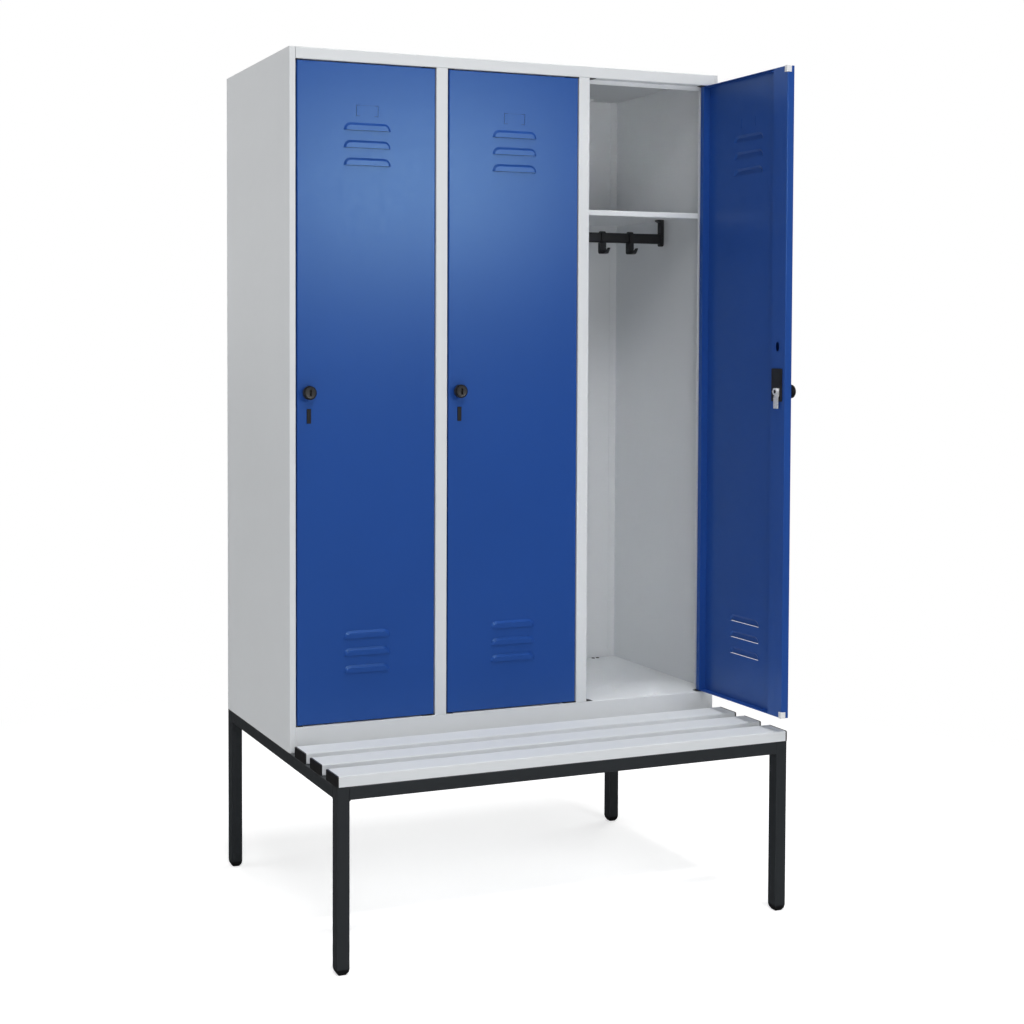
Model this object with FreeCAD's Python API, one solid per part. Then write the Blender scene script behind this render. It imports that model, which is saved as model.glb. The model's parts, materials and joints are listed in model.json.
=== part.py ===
import FreeCAD, Part
import math
import os

# Steel clothes locker on a bench frame. Compartments stand side by side, each with a hinged door,
# a hat shelf and a coat rail with sliding hooks. The tube frame also carries a slatted bench in front.
# Lengths are millimetres. X runs right along the front, Y runs to the back and Z runs up.
# The origin is on the floor in the middle of the footprint. One door stands open.

Vector = FreeCAD.Vector

# Whole locker
width = 1180.0
height = 2090.0
cabinet_depth = 500.0
bench_depth = 315.0
frame_top = 420.0
compartments = 3
open_door = 3
open_angle = 91.0

# Sheet steel
sheet = 1.0
bend = 1.5
seam = 0.2

# Cabinet
side_stile = 16.0
mid_stile = 31.0
stile_lip = 6.0
top_rail = 28.0
plinth_height = 61.0
pan_flange = 25.0
rear_flange = 23.0
hinge_stop = 25.0
stop_drop = 11.0
stop_space = 4.0
vent_diameter = 15.0
vent_setback = 23.0
vent_offset = 99.0
drain_diameter = 7.0
drain_pitch = 14.0
drain_setback = 12.0
drain_offset = 77.0

# Doors
door_gap = 3.0
door_depth = 20.0
door_edge = 2.0
lock_flange = 54.0
hinge_flange = 14.5
hinge_inset = 12.0
hinge_setback = 6.0

# Hinge pins and their plastic corner pieces
pin_diameter = 5.0
pin_head_diameter = 7.5
pin_head = 2.0
pin_reach = 11.0
pin_clearance = 0.05
bush_wall = 1.5
bush_length = 13.0
hinge_wedge = 34.0
plug_wedge = 18.0
wedge_tip = 0.8
wedge_slope = 11.0
wedge_margin = 1.0
wedge_clearance = 0.3

# Louvres and card clips pressed in the doors
louvre_width = 121.0
louvre_height = 18.0
louvre_corner = 17.5
louvre_depth = 4.0
louvre_slope = 6.0
louvre_pitch = 41.6
louvre_count = 3
louvre_top_margin = 140.0
louvre_bottom_margin = 118.0
card_width = 57.0
card_height = 26.0
card_arm = 10.0
card_slot = 0.9
card_score = 0.5
card_margin = 16.0

# Turn-knob lock
lock_height = 1277.0
lock_inset = 26.0
slot_inset = 29.5
knob_diameter = 33.0
knob_neck = 22.0
knob_face = 28.0
knob_depth = 22.0
knob_head = 11.0
knob_flare = 4.0
knob_rim = 2.5
knob_gap = 0.3
keyway_width = 4.2
keyway_height = 15.0
keyway_depth = 4.0
keyway_eye = 6.6
spindle_diameter = 16.0
spindle_clearance = 0.05
barrel_diameter = 24.0
tail_diameter = 9.0
tail_flats = 7.0
case_width = 40.0
case_height = 80.0
case_below = 24.0
case_thickness = 2.0
case_corner = 2.0
cam_thickness = 2.5
cam_width = 16.0
cam_throw = 12.0
cam_gap = 0.4
nut_flats = 17.0
nut_height = 5.0
fit_clearance = 0.1

# Small door fittings
plug_width = 11.0
plug_height = 35.0
plug_drop = 56.0
plug_head = 1.6
plug_rim = 1.2
plug_corner = 1.8
plug_length = 9.0
spare_hole_width = 13.0
spare_hole_height = 22.0
spare_hole_rise = 109.0
buffer_width = 8.0
buffer_height = 15.0
buffer_wrap = 10.0
buffer_skin = 1.8
buffer_round = 1.2
buffer_gap = 0.3
buffer_peg = 4.0
buffer_peg_length = 8.0

# Hat shelf, coat rail and hooks
shelf_top = 1734.0
shelf_lip = 14.0
shelf_hem = 12.0
shelf_setback = 28.0
rail_height = 27.0
rail_thickness = 12.0
rail_corner = 4.0
rail_wall = 1.5
rail_drop = 40.0
rail_setback = 245.0
socket_inset = 8.0
socket_length = 9.0
socket_end = 3.0
socket_wall = 2.5
socket_drop = 7.0
socket_clearance = 0.15
socket_foot = 9.0
socket_foot_height = 8.0
hook_count = 3
hook_pitch = 86.0
hook_width = 12.0
hook_collar = 3.5
hook_clearance = 0.3
hook_stem = 17.0
hook_depth = 14.0
hook_drop = 30.0
hook_base = 5.5
hook_reach = 38.0
hook_rise = 14.0
hook_tip = 2.5
hook_point = 6.0
hook_bend = 5.0
hook_toe = 16.0

# Bench frame
tube = 30.0
tube_wall = 1.5
tube_corner = 2.0
foot_height = 14.0
foot_shoulder = 7.0
foot_shoulder_inset = 1.5
foot_sole_inset = 6.0
foot_plug = 18.0
foot_clearance = 0.2

# Bench slats
slat_count = 3
slat_width = 70.0
slat_height = 25.0
slat_gap = 35.0
slat_crown = 3.0
slat_base_corner = 1.5
slat_wall = 2.0
slat_cells = 3
cap_thickness = 4.0
cap_plug = 8.0
cap_clearance = 0.2

# Screws and bolts
screw_diameter = 6.0
screw_head_diameter = 9.0
screw_head = 3.0
screw_bite = 8.0
bolt_diameter = 8.0
bolt_head_flats = 13.0
bolt_head = 5.0
bolt_tip = 3.0
bolt_inset = 150.0
hole_play = 0.5

# Planes that the pieces share
left = -width / 2
right = width / 2
bench_front = -(cabinet_depth + bench_depth) / 2
front = bench_front + bench_depth
back = front + cabinet_depth
floor_top = frame_top + plinth_height
opening_top = height - top_rail
opening_width = (width - 2 * side_stile - (compartments - 1) * mid_stile) / compartments
stile_depth = door_depth + stop_space
inner_back = back - 2 * sheet - bend
frame_base = frame_top - tube
rail_top = shelf_top - rail_drop
rail_middle = rail_top - rail_height / 2
rail_line = front + rail_setback

# A door is drawn closed, in an opening whose left front edge is the line x = 0, y = 0.
door_left = door_gap
door_right = opening_width - door_gap
door_bottom = floor_top + door_gap
door_top = opening_top - door_gap
hinge_x = opening_width - hinge_inset
lock_x = door_left + lock_inset
slot_x = door_left + slot_inset
case_back = door_depth + case_thickness
cam_crank = stop_space - case_thickness + cam_gap
bush_radius = pin_diameter / 2 + pin_clearance + bush_wall
wedge_height = door_gap - wedge_clearance


# Flat outlines

def bend_knot(corner, before, after, radius):
    """Start, middle and end of the arc that rounds a corner between two headings."""
    half = before.getAngle(after) / 2
    inwards = (after - before).normalize()
    reach = radius * math.tan(half)
    middle = corner + inwards * (radius / math.cos(half) - radius)
    return (corner - before * reach, middle, corner + after * reach)


def outline(knots, to_space):
    """Face inside a closed chain of knots, each a single point or the three points of an arc."""
    placed = [[to_space(point.x, point.y) for point in knot] for knot in knots]
    edges = []
    for here, following in zip(placed, placed[1:] + placed[:1]):
        if len(here) == 3:
            edges.append(Part.Arc(*here).toShape())
        if not here[-1].isEqual(following[0], 1e-6):
            edges.append(Part.makeLine(here[-1], following[0]))
    return Part.Face(Part.Wire(edges))


def polygon_knots(corners, radii):
    """Knots of a closed outline with one radius per corner."""
    points = [Vector(u, v, 0) for u, v in corners]
    knots = []
    for index, radius in enumerate(radii):
        corner = points[index]
        before = (corner - points[index - 1]).normalize()
        after = (points[(index + 1) % len(points)] - corner).normalize()
        knots.append(bend_knot(corner, before, after, radius) if radius else (corner,))
    return knots


def rounded_rectangle(u, v, radii, to_space):
    """Rectangle between two pairs of limits, with radii from the low corner round the outline."""
    corners = [(u[0], v[0]), (u[1], v[0]), (u[1], v[1]), (u[0], v[1])]
    return outline(polygon_knots(corners, radii), to_space)


def bent_strip(corners, thickness, inner_radius, to_space):
    """Section of a folded strip. One side follows the corners, and the strip lies to its left."""
    points = [Vector(u, v, 0) for u, v in corners]
    headings = [(b - a).normalize() for a, b in zip(points, points[1:])]
    normals = [Vector(-heading.y, heading.x, 0) for heading in headings]
    near = [(points[0],)]
    far = [(points[0] + normals[0] * thickness,)]
    for index, corner in enumerate(points[1:-1]):
        before = headings[index]
        after = headings[index + 1]
        turns_left = before.cross(after).z > 0
        near_radius = inner_radius + thickness if turns_left else inner_radius
        far_radius = inner_radius if turns_left else inner_radius + thickness
        mitre = (normals[index] + normals[index + 1]) * (thickness / (1 + before.dot(after)))
        near.append(bend_knot(corner, before, after, near_radius))
        far.append(bend_knot(corner + mitre, before, after, far_radius))
    near.append((points[-1],))
    far.append((points[-1] + normals[-1] * thickness,))
    return outline(near + [knot[::-1] for knot in reversed(far)], to_space)


# Solids that several pieces use

def at_z(z):
    return lambda u, v: Vector(u, v, z)


def at_x(x):
    return lambda u, v: Vector(x, u, v)


def at_y(y):
    return lambda u, v: Vector(u, y, v)


def block(x, y, z):
    """Box between the low and high limit of each axis."""
    return Part.makeBox(x[1] - x[0], y[1] - y[0], z[1] - z[0], Vector(x[0], y[0], z[0]))


def rod_z(x, y, z, radius):
    """Upright cylinder between two heights."""
    return Part.makeCylinder(radius, z[1] - z[0], Vector(x, y, z[0]))


def rod_y(x, z, y, radius):
    """Cylinder that runs from front to back."""
    return Part.makeCylinder(radius, y[1] - y[0], Vector(x, y[0], z), Vector(0, 1, 0))


def hexagon_z(x, y, z, flats):
    """Upright hexagonal prism with the given width across its flats."""
    radius = flats / math.sqrt(3)
    turns = [math.radians(60 * step) for step in range(7)]
    rim = [Vector(x + radius * math.cos(turn), y + radius * math.sin(turn), z[0]) for turn in turns]
    return Part.Face(Part.makePolygon(rim)).extrude(Vector(0, 0, z[1] - z[0]))


def mirrored_x(shape):
    return shape.mirror(Vector(0, 0, 0), Vector(1, 0, 0))


def both_sides(shape):
    """A shape and its mirror image across the middle of the locker."""
    return [shape, mirrored_x(shape)]


def moved(shape, x=0.0, y=0.0, z=0.0):
    copy = shape.copy()
    copy.translate(Vector(x, y, z))
    return copy


def folded_upright(corners, z):
    """Sheet folded along upright bends, drawn in plan."""
    section = bent_strip(corners, sheet, bend, at_z(z[0]))
    return section.extrude(Vector(0, 0, z[1] - z[0]))


def folded_across(corners, x):
    """Sheet folded along bends that run left to right, drawn in side view."""
    section = bent_strip(corners, sheet, bend, at_x(x[0]))
    return section.extrude(Vector(x[1] - x[0], 0, 0))


# Places that repeat

def opening_left(index):
    """Left edge of a door opening."""
    return left + side_stile + index * (opening_width + mid_stile)


def divider_middle(index):
    """Middle of the partition to the right of a compartment."""
    return opening_left(index) + opening_width + mid_stile / 2


def bay(index):
    """Inner faces of the walls beside a compartment."""
    low = left + sheet if index == 0 else divider_middle(index - 1) + sheet / 2
    high = right - sheet if index == compartments - 1 else divider_middle(index) - sheet / 2
    return (low, high)


def hinge_pegs(index):
    """Plan places of the corner pieces of an opening: hinge side, then lock side."""
    start = opening_left(index)
    return [(start + hinge_x, front + hinge_setback), (start + hinge_inset, front + hinge_setback)]


def slat_middle(index):
    """Middle of a slat, counted from the front."""
    return bench_front + slat_width / 2 + index * (slat_width + slat_gap)


def bolt_places():
    """Plan places of the bolts that hold the cabinet on the frame."""
    across = [left + bolt_inset, right - bolt_inset]
    return [(x, y) for x in across for y in (front + tube / 2, back - tube / 2)]


def screw_places(index):
    """Plan places of the screws at both ends of a slat."""
    return [(x, slat_middle(index)) for x in (left + tube / 2, right - tube / 2)]


def drilled(shape, places, z, radius):
    """Shape with an upright hole at each place."""
    return shape.cut([rod_z(x, y, z, radius) for x, y in places])


# Bench frame

def square_tube(direction, start, length):
    """Square tube whose low corner is at the start, along a unit direction."""
    limits = (0, tube)
    bore = (tube_wall, tube - tube_wall)
    outer = rounded_rectangle(limits, limits, [tube_corner] * 4, at_z(0))
    inner = rounded_rectangle(bore, bore, [tube_corner - tube_wall] * 4, at_z(0))
    solid = outer.cut(inner).extrude(Vector(0, 0, length))
    if direction == "x":
        solid.rotate(Vector(0, 0, 0), Vector(0, 1, 0), 90)
    if direction == "y":
        solid.rotate(Vector(0, 0, 0), Vector(1, 0, 0), -90)
    box = solid.BoundBox
    return moved(solid, start.x - box.XMin, start.y - box.YMin, start.z - box.ZMin)


def leg_corners():
    """Low corners of the four legs in plan."""
    return [(x, y) for x in (left, right - tube) for y in (bench_front, back - tube)]


def bench_legs():
    legs = [square_tube("z", Vector(x, y, foot_height), frame_top - foot_height) for x, y in leg_corners()]
    return Part.makeCompound(legs)


def foot_section(x, y, inset, radius, z):
    """Rounded square inside the outline of a leg."""
    u = (x + inset, x + tube - inset)
    v = (y + inset, y + tube - inset)
    return rounded_rectangle(u, v, [radius] * 4, at_z(z))


def leg_foot(x, y):
    """Plastic foot: a pad that narrows to its sole, with a plug that sits in the tube."""
    levels = [(foot_sole_inset, 0), (foot_shoulder_inset, foot_shoulder), (0, foot_height)]
    rings = [foot_section(x, y, inset, tube_corner, z).OuterWire for inset, z in levels]
    pad = Part.makeLoft(rings, True, True)
    plug = foot_section(x, y, tube_wall + foot_clearance, tube_corner - tube_wall, foot_height)
    return pad.fuse(plug.extrude(Vector(0, 0, foot_plug)))


def leg_feet():
    return Part.makeCompound([leg_foot(x, y) for x, y in leg_corners()])


def side_rail():
    """Left rail of the frame, which the slats are screwed to."""
    length = cabinet_depth + bench_depth - 2 * tube
    rail = square_tube("y", Vector(left, bench_front + tube, frame_base), length)
    places = [screw_places(index)[0] for index in range(slat_count)]
    return drilled(rail, places, (frame_base, frame_top), (screw_diameter + hole_play) / 2)


def cross_tube(y):
    """Rail from one side of the frame to the other."""
    return square_tube("x", Vector(left + tube, y, frame_base), width - 2 * tube)


def bolted_rail(y):
    """Rail under the cabinet, drilled for the cabinet bolts."""
    places = [place for place in bolt_places() if y < place[1] < y + tube]
    return drilled(cross_tube(y), places, (frame_base, frame_top), (bolt_diameter + hole_play) / 2)


# Bench slats

def slat_outline(x):
    """Outside of a slat, drawn about its own middle on the frame."""
    half = slat_width / 2
    low = slat_base_corner
    return rounded_rectangle((-half, half), (0, slat_height), [low, low, slat_crown, slat_crown], at_x(x))


def slat_cell(index, clearance, x):
    """One hollow of a slat, made smaller all round by a clearance."""
    span = (slat_width - (slat_cells + 1) * slat_wall) / slat_cells
    start = -slat_width / 2 + slat_wall + index * (span + slat_wall)
    u = (start + clearance, start + span - clearance)
    v = (slat_wall + clearance, slat_height - slat_wall - clearance)
    crown = slat_crown - slat_wall
    radii = [0, 0, crown if index == slat_cells - 1 else 0, crown if index == 0 else 0]
    return rounded_rectangle(u, v, radii, at_x(x))


def bench_slat(index):
    """Hollow slat between its end caps."""
    start = left + cap_thickness
    length = width - 2 * cap_thickness
    section = slat_outline(start).cut([slat_cell(cell, 0, start) for cell in range(slat_cells)])
    slat = moved(section.extrude(Vector(length, 0, 0)), y=slat_middle(index), z=frame_top)
    reach = (frame_top, frame_top + slat_wall)
    return drilled(slat, screw_places(index), reach, screw_diameter / 2 + fit_clearance)


def slat_cap():
    """Left end cap, with plugs in the slat's hollows."""
    plate = slat_outline(left).extrude(Vector(cap_thickness, 0, 0))
    plugs = [slat_cell(cell, cap_clearance, left + cap_thickness) for cell in range(slat_cells)]
    return plate.fuse([plug.extrude(Vector(cap_plug, 0, 0)) for plug in plugs])


def slat_end_caps():
    cap = slat_cap()
    caps = []
    for index in range(slat_count):
        caps += both_sides(moved(cap, y=slat_middle(index), z=frame_top))
    return Part.makeCompound(caps)


def slat_screw(x, y):
    """Screw from below, through the side rail into a slat."""
    head = rod_z(x, y, (frame_base - screw_head, frame_base), screw_head_diameter / 2)
    return head.fuse(rod_z(x, y, (frame_base, frame_top + screw_bite), screw_diameter / 2))


def slat_screws():
    places = [place for index in range(slat_count) for place in screw_places(index)]
    return Part.makeCompound([slat_screw(x, y) for x, y in places])


# Cabinet

def side_panel(lip_end):
    """Left wall, folded round the front into a stile and a lip, and round the back into a flange."""
    corners = [
        (left + rear_flange, back - sheet),
        (left, back - sheet),
        (left, front),
        (left + side_stile, front),
        (left + side_stile, front + stile_depth),
        (left + lip_end, front + stile_depth),
    ]
    return folded_upright(corners, (frame_top, height - sheet))


def lock_side_panel():
    """Left wall, with the lip of its stile turned away from the door."""
    return side_panel(side_stile - stile_lip)


def hinge_side_panel():
    """Right wall, with a wide lip behind the hinge side of the door, between the floor and the top rail."""
    x = (left + side_stile - sheet - seam, left + side_stile + hinge_stop)
    y = (front + stile_depth - bend - seam, front + stile_depth + sheet)
    below = block(x, y, (frame_top, floor_top))
    above = block(x, y, (opening_top - stop_drop - seam, height - sheet))
    return mirrored_x(side_panel(side_stile + hinge_stop).cut([below, above]))


def back_panel():
    """Flat back wall, fixed on the rear flanges."""
    return block((left, right), (back - sheet, back), (frame_top, height - sheet))


def bush_holes(z):
    """Cutters for the pegs of the plastic corner pieces."""
    places = [place for index in range(compartments) for place in hinge_pegs(index)]
    return [rod_z(x, y, z, bush_radius + fit_clearance) for x, y in places]


def vent(index, z):
    """Cutter for the round hole in the ceiling near the back of a compartment."""
    return rod_z(bay(index)[1] - vent_offset, inner_back - vent_setback, z, vent_diameter / 2)


def drains(index, z):
    """Cutters for the two small holes in the floor near the back of a compartment."""
    start = bay(index)[1] - drain_offset
    places = [start, start + drain_pitch]
    return [rod_z(x, inner_back - drain_setback, z, drain_diameter / 2) for x in places]


def top_panel():
    """Top, folded down into the front rail and on into the lip that stops the doors."""
    corners = [
        (back, height),
        (front, height),
        (front, opening_top),
        (front + stile_depth, opening_top),
        (front + stile_depth, opening_top - stop_drop),
    ]
    panel = folded_across(corners, (left, right))
    above_stile = block(
        (left, left + side_stile),
        (front, front + stile_depth + sheet),
        (opening_top - stop_drop, height - sheet),
    )
    cutters = both_sides(above_stile) + bush_holes((opening_top, opening_top + 2 * sheet))
    cutters += [vent(index, (height - sheet, height)) for index in range(compartments)]
    return panel.cut(cutters)


def floor_panel():
    """Floor, folded down at the front and back into a plinth that stands on the frame."""
    corners = [
        (inner_back - pan_flange, frame_top),
        (inner_back, frame_top),
        (inner_back, floor_top),
        (front, floor_top),
        (front, frame_top),
        (front + pan_flange, frame_top),
    ]
    panel = folded_across(corners, (left + sheet, right - sheet))
    beside_stile = block((left, left + side_stile), (front, front + stile_depth), (frame_top, floor_top))
    cutters = both_sides(beside_stile) + bush_holes((floor_top - 2 * sheet, floor_top))
    bolt_radius = (bolt_diameter + hole_play) / 2
    cutters += [rod_z(x, y, (frame_top, frame_top + sheet), bolt_radius) for x, y in bolt_places()]
    for index in range(compartments):
        cutters += drains(index, (floor_top - sheet, floor_top))
    return panel.cut(cutters)


def divider(index):
    """Partition: one sheet whose front edge is folded into a hollow stile."""
    middle = divider_middle(index)
    web = middle - sheet / 2
    corners = [
        (web + rear_flange, back - sheet),
        (web, back - sheet),
        (web, front + stile_depth),
        (middle - mid_stile / 2, front + stile_depth),
        (middle - mid_stile / 2, front),
        (middle + mid_stile / 2, front),
        (middle + mid_stile / 2, front + stile_depth),
        (middle + mid_stile / 2 - stile_lip, front + stile_depth),
    ]
    panel = folded_upright(corners, (floor_top, height - sheet))
    across = (middle - mid_stile, middle + mid_stile)
    lip_back = front + stile_depth + sheet + seam
    rail_notch = block(across, (front, lip_back), (opening_top, height - sheet))
    lip_low = opening_top - stop_drop - seam
    lip_notch = block(across, (front + stile_depth - bend - seam, lip_back), (lip_low, opening_top))
    return panel.cut([rail_notch, lip_notch])


def hat_shelf(index):
    """Shelf with a folded front edge and a short rear flange."""
    start = front + shelf_setback
    corners = [
        (inner_back, shelf_top - shelf_hem),
        (inner_back, shelf_top),
        (start, shelf_top),
        (start, shelf_top - shelf_lip),
        (start + shelf_hem, shelf_top - shelf_lip),
    ]
    return folded_across(corners, bay(index))


def cabinet_bolt(x, y):
    """Hexagon bolt from below, with its nut inside the plinth."""
    nut_base = frame_top + sheet
    nut_top = nut_base + bolt_head
    head = hexagon_z(x, y, (frame_base - bolt_head, frame_base), bolt_head_flats)
    bolt = head.fuse(rod_z(x, y, (frame_base, nut_top + bolt_tip), bolt_diameter / 2))
    nut = hexagon_z(x, y, (nut_base, nut_top), bolt_head_flats)
    nut = nut.cut(rod_z(x, y, (nut_base, nut_top), bolt_diameter / 2 + fit_clearance))
    return [bolt, nut]


def cabinet_bolts():
    return Part.makeCompound([piece for x, y in bolt_places() for piece in cabinet_bolt(x, y)])


# Coat rail and hooks

def rail_section(offset, x):
    """Outline of the coat rail about its own middle, made larger by an offset."""
    half_depth = rail_thickness / 2 + offset
    half_height = rail_height / 2 + offset
    radii = [rail_corner + offset] * 4
    return rounded_rectangle((-half_depth, half_depth), (-half_height, half_height), radii, at_x(x))


def on_rail(shape):
    """Shape drawn about the rail's middle line, moved to the rail."""
    return moved(shape, y=rail_line, z=rail_middle)


def coat_rail(index):
    """Flat tube between the end walls of its two sockets."""
    low, high = bay(index)
    start = low + socket_inset + socket_end
    length = high - start - socket_inset - socket_end
    section = rail_section(0, start).cut(rail_section(-rail_wall, start))
    return on_rail(section.extrude(Vector(length, 0, 0)))


def rail_socket():
    """Bracket for a rail's left end, with its closed side at x = 0, hung under the shelf."""
    half = rail_thickness / 2 + socket_wall
    top = shelf_top - sheet - rail_middle
    low = -rail_height / 2 - socket_drop
    round_foot = rail_corner + socket_wall
    radii = [round_foot, round_foot, 0, 0]
    body = rounded_rectangle((-half, half), (low, top), radii, at_x(0)).extrude(Vector(socket_length, 0, 0))
    foot_corners = [
        (socket_length, top - socket_foot_height),
        (socket_length + socket_foot, top - socket_foot_height / 2),
        (socket_length + socket_foot, top),
        (socket_length, top),
    ]
    foot = outline(polygon_knots(foot_corners, [0] * 4), at_y(-half)).extrude(Vector(0, 2 * half, 0))
    pocket = rail_section(socket_clearance, socket_end).extrude(Vector(socket_length, 0, 0))
    return body.fuse(foot).cut(pocket)


def rail_brackets():
    socket = rail_socket()
    brackets = []
    for index in range(compartments):
        low, high = bay(index)
        brackets.append(on_rail(moved(socket, x=low + socket_inset)))
        brackets.append(on_rail(moved(mirrored_x(socket), x=high - socket_inset)))
    return Part.makeCompound(brackets)


def hook_profile(x):
    """Side view of a hook below the rail: a stem, a thick base and a toe that thins towards its tip."""
    half = hook_depth / 2
    neck = -rail_height / 2 - hook_clearance
    base = neck - hook_drop
    toe_start = hook_reach - hook_rise
    corners = [
        (half, neck),
        (half, base),
        (-toe_start, base),
        (-hook_reach, base + hook_rise),
        (-hook_reach + hook_tip, base + hook_rise + hook_tip / 2),
        (-toe_start, base + hook_base),
        (-half, base + hook_base),
        (-half, neck),
    ]
    tip = hook_tip / 3
    radii = [0, half, hook_toe, tip, tip, hook_bend, hook_bend, 0]
    return outline(polygon_knots(corners, radii), at_x(x))


def hook_plan():
    """Room of a hook seen from above: as wide as the stem, narrowing towards the tip of the toe."""
    half = hook_stem / 2
    point = hook_point / 2
    root = hook_depth / 2
    corners = [
        (-half, root),
        (-half, -root),
        (-point, -hook_reach),
        (point, -hook_reach),
        (half, -root),
        (half, root),
    ]
    base = -rail_height / 2 - hook_clearance - hook_drop
    return outline(polygon_knots(corners, [0] * 6), at_z(base)).extrude(Vector(0, 0, hook_drop))


def coat_hook():
    """Plastic hook: a collar round the rail and a stem that curls forward below it."""
    start = -hook_width / 2
    collar = rail_section(hook_clearance + hook_collar, start).extrude(Vector(hook_width, 0, 0))
    stem = hook_profile(-hook_stem / 2).extrude(Vector(hook_stem, 0, 0)).common(hook_plan())
    slide = rail_section(hook_clearance, -hook_stem).extrude(Vector(2 * hook_stem, 0, 0))
    return collar.fuse(stem).cut(slide)


def hook_place(bay_index, hook_index):
    """Middle of a hook along the rail."""
    low, high = bay(bay_index)
    return (low + high) / 2 + (hook_index - (hook_count - 1) / 2) * hook_pitch


# Hinges

def corner_wedge(length, bored):
    """Plastic piece for the sill at the hinge side, about the peg's axis on the sill."""
    far = hinge_inset - length
    corners = [
        (far, 0),
        (hinge_inset, 0),
        (hinge_inset, wedge_height),
        (far + wedge_slope, wedge_height),
        (far, wedge_tip),
    ]
    start = wedge_margin - hinge_setback
    depth = door_depth - 2 * wedge_margin
    wedge = outline(polygon_knots(corners, [0] * 5), at_y(start)).extrude(Vector(0, depth, 0))
    piece = wedge.fuse(rod_z(0, 0, (-bush_length, 0), bush_radius))
    if bored:
        piece = piece.cut(rod_z(0, 0, (-bush_length, wedge_height), pin_diameter / 2 + pin_clearance))
    return piece


def at_sill_and_head(piece, place):
    """A corner piece on the sill and its upside-down twin under the top rail."""
    upside_down = piece.mirror(Vector(0, 0, 0), Vector(0, 0, 1))
    return [moved(piece, place[0], place[1], floor_top), moved(upside_down, place[0], place[1], opening_top)]


def hinge_bushes():
    bush = corner_wedge(hinge_wedge, True)
    pieces = []
    for index in range(compartments):
        pieces += at_sill_and_head(bush, hinge_pegs(index)[0])
    return Part.makeCompound(pieces)


def corner_plugs():
    plug = mirrored_x(corner_wedge(plug_wedge, False))
    pieces = []
    for index in range(compartments):
        pieces += at_sill_and_head(plug, hinge_pegs(index)[1])
    return Part.makeCompound(pieces)


def hinge_pins():
    """Headed pins that hold a door at its top and bottom."""
    head_top = door_top - sheet
    head_low = door_bottom + sheet
    radius = pin_diameter / 2
    upper = rod_z(hinge_x, hinge_setback, (head_top - pin_head, head_top), pin_head_diameter / 2)
    upper = upper.fuse(rod_z(hinge_x, hinge_setback, (head_top, opening_top + pin_reach), radius))
    lower = rod_z(hinge_x, hinge_setback, (head_low, head_low + pin_head), pin_head_diameter / 2)
    lower = lower.fuse(rod_z(hinge_x, hinge_setback, (floor_top - pin_reach, head_low), radius))
    return Part.makeCompound([upper, lower])


# Doors

def folded_tray(x, y, z, radius):
    """Box with rounded bends all round its front and along its upright back edges."""
    solid = block(x, y, z)
    middle = (y[0] + y[1]) / 2
    boxes = [(edge, edge.BoundBox) for edge in solid.Edges]
    bends = [edge for edge, box in boxes if box.YMax < middle or box.ZLength > door_depth]
    return solid.makeFillet(radius, bends)


def door_shell():
    """Hollow door: a front sheet turned back on all four sides, with a closed box down each long side."""
    outer = folded_tray((door_left, door_right), (0, door_depth), (door_bottom, door_top), door_edge)
    inner_y = (sheet, door_depth - sheet)
    inner_z = (door_bottom + sheet, door_top - sheet)
    hollow = folded_tray((door_left + sheet, door_right - sheet), inner_y, inner_z, door_edge - sheet)
    window_left = door_left + lock_flange
    window_right = door_right - hinge_flange
    window = block((window_left, window_right), (door_depth / 2, door_depth), inner_z)
    box_sides = [
        block((window_left - sheet, window_left), inner_y, inner_z),
        block((window_right, window_right + sheet), inner_y, inner_z),
    ]
    return outer.cut([hollow, window]).fuse(box_sides)


def louvre_face(inset, y):
    """Outline of a louvre: straight below, with large round corners above."""
    half = louvre_width / 2 - inset
    rise = louvre_height - inset
    radius = louvre_corner - inset
    corners = [(-half, 0), (half, 0), (half, rise), (-half, rise)]
    return outline(polygon_knots(corners, [0, 0, radius, radius]), at_y(y)).OuterWire


def louvre_loft(inset, y):
    """Tapered solid between a louvre's outline at the door face and the one at its crest."""
    wide = louvre_face(inset, y[1])
    narrow = louvre_face(inset + louvre_slope, y[0])
    return Part.makeLoft([wide, narrow], True, True)


def louvre_places():
    """Middles of the lower edges of all louvres of a door."""
    middle = (door_left + door_right) / 2
    highest = door_top - louvre_top_margin - louvre_height
    lowest = door_bottom + louvre_bottom_margin
    upper = [highest - step * louvre_pitch for step in range(louvre_count)]
    lower = [lowest + step * louvre_pitch for step in range(louvre_count)]
    return [(middle, z) for z in upper + lower]


def card_slots():
    """Cutters for the two clips that hold a name card: a slot each, with a score at both ends."""
    middle = (door_left + door_right) / 2
    low = door_top - louvre_top_margin + card_margin
    slot = block((0, card_slot), (0, sheet), (0, card_height))
    score = block((0, card_arm), (0, card_score), (0, card_slot))
    clip = slot.fuse([score, moved(score, z=card_height - card_slot)])
    return [moved(shape, x=middle, z=low) for shape in both_sides(moved(clip, x=-card_width / 2))]


def oblong_y(x, z, y, size, radius):
    """Upright bar with rounded corners that runs from front to back."""
    across = (x - size[0] / 2, x + size[0] / 2)
    along = (z - size[1] / 2, z + size[1] / 2)
    return rounded_rectangle(across, along, [radius] * 4, at_y(y[0])).extrude(Vector(0, y[1] - y[0], 0))


def buffer_pegs():
    """Places of the buffers' pegs on the lock flange: top, then bottom."""
    x = door_left + buffer_width / 2
    return [(x, door_top - buffer_height / 2), (x, door_bottom + buffer_height / 2)]


def plug_hole_size():
    return (plug_width - 2 * plug_rim, plug_height - 2 * plug_rim)


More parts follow.
